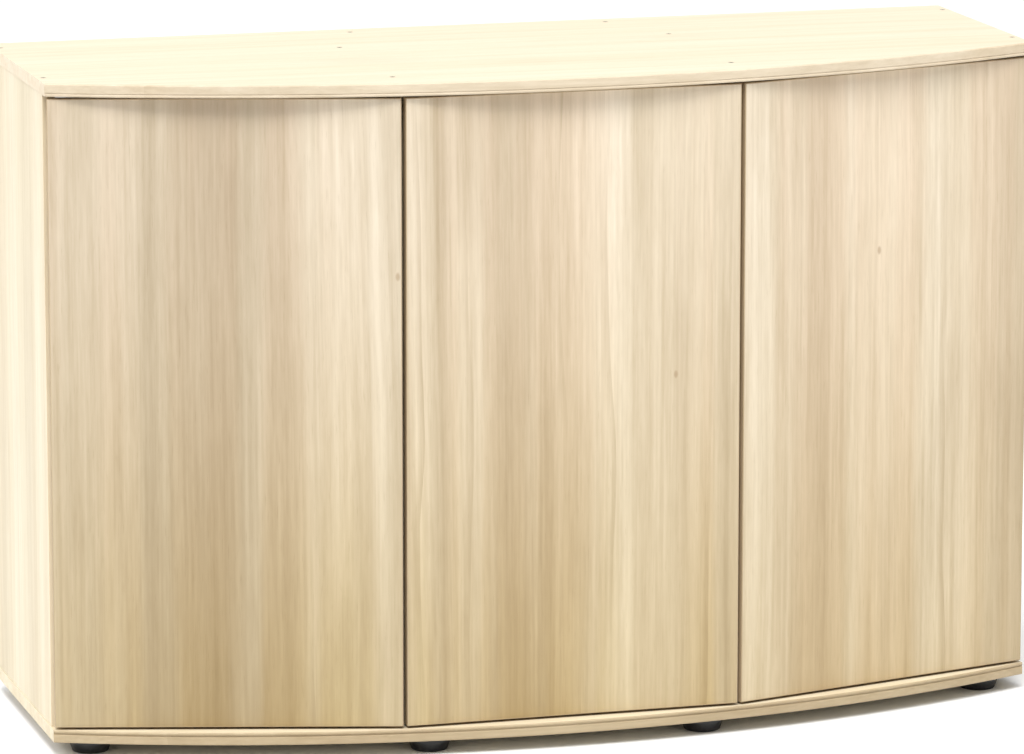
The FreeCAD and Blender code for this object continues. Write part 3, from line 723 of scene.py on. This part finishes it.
def door_band(side, turn, material):
    """The strips round a door's edges, mitred at its corners, with rounded outer arrises."""
    node = side + "_door_edge_bands"
    across, inward = face_ways(turn)
    upward = Vector((0, 0, 1))
    left, right, front, back, low, high = [
        pick(way.dot(spot) for spot in spots_of(node))
        for way in (across, inward, upward) for pick in (min, max)
    ]
    thickness = left_edge_of(side + "_door", turn) - left
    radius = DOOR_BAND_RADIUS
    profile = [(thickness, front)]
    profile += arc_points((radius, front + radius), radius, 270, 180, DOOR_BAND_STEPS)
    profile += arc_points((radius, back - radius), radius, 180, 90, DOOR_BAND_STEPS)
    profile += [(thickness, back)]
    mesh = bmesh.new()
    rings = []
    for edge, end, way_in, way_up in (
        (left, low, 1, 1), (right, low, -1, 1), (right, high, -1, -1), (left, high, 1, -1),
    ):
        rings.append([
            mesh.verts.new(across * (edge + way_in * inset) + inward * depth
                           + upward * (end + way_up * inset))
            for inset, depth in profile
        ])
    skin(mesh, rings, closed=True)
    show(mesh, node, material, SWEPT_CREASE)


def finish_boards(materials):
    """The boards and their bands; a board meets its band in front, a band its board behind."""
    for level, decor in (("top", "top_decor"), ("base", "level_decor")):
        softened(level + "_panel", materials[decor], BOARD_RADIUS, LONG_ARRIS,
                 centre_of(level + "_edge_band"))
        bowed_band(level, materials[level + "_band_decor"])
    for side in SIDES:
        NODES[side + "_door"].data.materials[0] = materials[side + "_door_decor"]
    for side in SIDE_TURNS:
        for board, decor in (
            ("side_panel", side + "_side_decor"), ("partition", "upright_decor"),
            ("shelf", "level_decor"),
        ):
            node = side + "_" + board
            softened(
                node, materials[decor], BOARD_RADIUS, BOARD_ARRIS, centre_of(node) + FORWARD)
        softened(side + "_back_panel", materials["thin_board_decor"], BOARD_RADIUS, BOARD_ARRIS)
    softened("middle_back_board", materials["upright_decor"], BOARD_RADIUS, BOARD_ARRIS)
    for bands, decor in (("shelf", "top_band_decor"), ("upright", "upright_band_lit_decor")):
        node = bands + "_edge_bands"
        softened(node, materials[decor], BOARD_RADIUS, STRIP_ARRIS, centre_of(node) - FORWARD)
    for side, turn in zip(SIDES, DOOR_TURNS):
        door_band(side, turn, materials[side + "_door_band_shaded_decor"])


def finish_hardware(materials):
    """Small pieces take their slot's material; hinge arms and latch housings are softened."""
    for node, slot in SLOT_OF.items():
        if slot in SMALL_PIECE_SLOTS:
            NODES[node].data.materials[0] = materials[slot]
    for side in SIDES:
        for piece, slot in (("hinge_arms", "plated_steel"), ("latch_housing", "latch_plastic")):
            softened(side + "_" + piece, materials[slot], HARDWARE_RADIUS, HARDWARE_ARRIS)


# ---- stage ------------------------------------------------------------------------------
FLOOR_HALF = 16
FLOOR_TONES = ((0.82, 0.82, 0.82), (0.85, 0.85, 0.85))
FLOOR_PATTERN = ((3, 3, 3), 3.0)
FLOOR_ROUGH = 0.9
FLOOR_SPECULAR = 0.1

WORLD_COLOUR = (0.96, 0.985, 1.03, 1)
WORLD_STRENGTH = 0.30

# The sun's strength, and in degrees how soft it is, how high it stands and how far to the left.
SUN_STRENGTH = 2.65
SUN_SOFTNESS = 24
SUN_HEIGHT = 62
SUN_LEFT = 25

# Soft panels: (name, place, aim, size, watts, seen in reflections). The one at the left isn't
# seen in them, so that it gives no glare on the top.
PANELS = (
    ("ceiling", (0, 1.5, 4.0), (0, 1.5, 0), (10, 14), 225, True),
    ("left_panel", (-3.8, 0.6, 2.6), (-0.7, 0.0, 0.2), (3.0, 2.2), 70, False),
    ("near_front", (0.9, -2.0, 2.9), (0.0, -0.2, 0.4), (1.6, 0.9), 24, True),
)


def make_floor():
    mesh = bmesh.new()
    bmesh.ops.create_grid(mesh, x_segments=1, y_segments=1, size=FLOOR_HALF)
    data = bpy.data.meshes.new("floor")
    mesh.to_mesh(data)
    mesh.free()
    floor = new_object("floor", data)
    recipe = Recipe("pale_floor")
    mottle = recipe.noise(recipe.place(), *FLOOR_PATTERN)
    recipe.link(recipe.mix(mottle, *FLOOR_TONES), recipe.shader.inputs["Base Color"])
    recipe.shader.inputs["Roughness"].default_value = FLOOR_ROUGH
    recipe.shader.inputs["Specular IOR Level"].default_value = FLOOR_SPECULAR
    data.materials.append(recipe.material)


def make_world():
    world = bpy.data.worlds.new("studio")
    world.use_nodes = True
    background = world.node_tree.nodes["Background"]
    background.inputs["Color"].default_value = WORLD_COLOUR
    background.inputs["Strength"].default_value = WORLD_STRENGTH
    bpy.context.scene.world = world
    bpy.context.scene.view_settings.view_transform = "Standard"


def make_lights():
    sun = bpy.data.lights.new("high_key", "SUN")
    sun.energy = SUN_STRENGTH
    sun.angle = math.radians(SUN_SOFTNESS)
    lamp = new_object("high_key", sun)
    lamp.rotation_euler = (math.radians(90 - SUN_HEIGHT), 0, math.radians(-SUN_LEFT))
    for name, place, aim, size, power, mirrored in PANELS:
        panel = bpy.data.lights.new(name, "AREA")
        panel.shape = "RECTANGLE"
        panel.size, panel.size_y = size
        panel.energy = power
        lamp = new_object(name, panel)
        lamp.location = place
        lamp.rotation_euler = (Vector(aim) - Vector(place)).to_track_quat("-Z", "Y").to_euler()
        lamp.visible_glossy = mirrored


# ---- all together -----------------------------------------------------------------------
make_camera()
materials = make_materials()
finish_boards(materials)
finish_hardware(materials)
make_floor()
make_world()
make_lights()
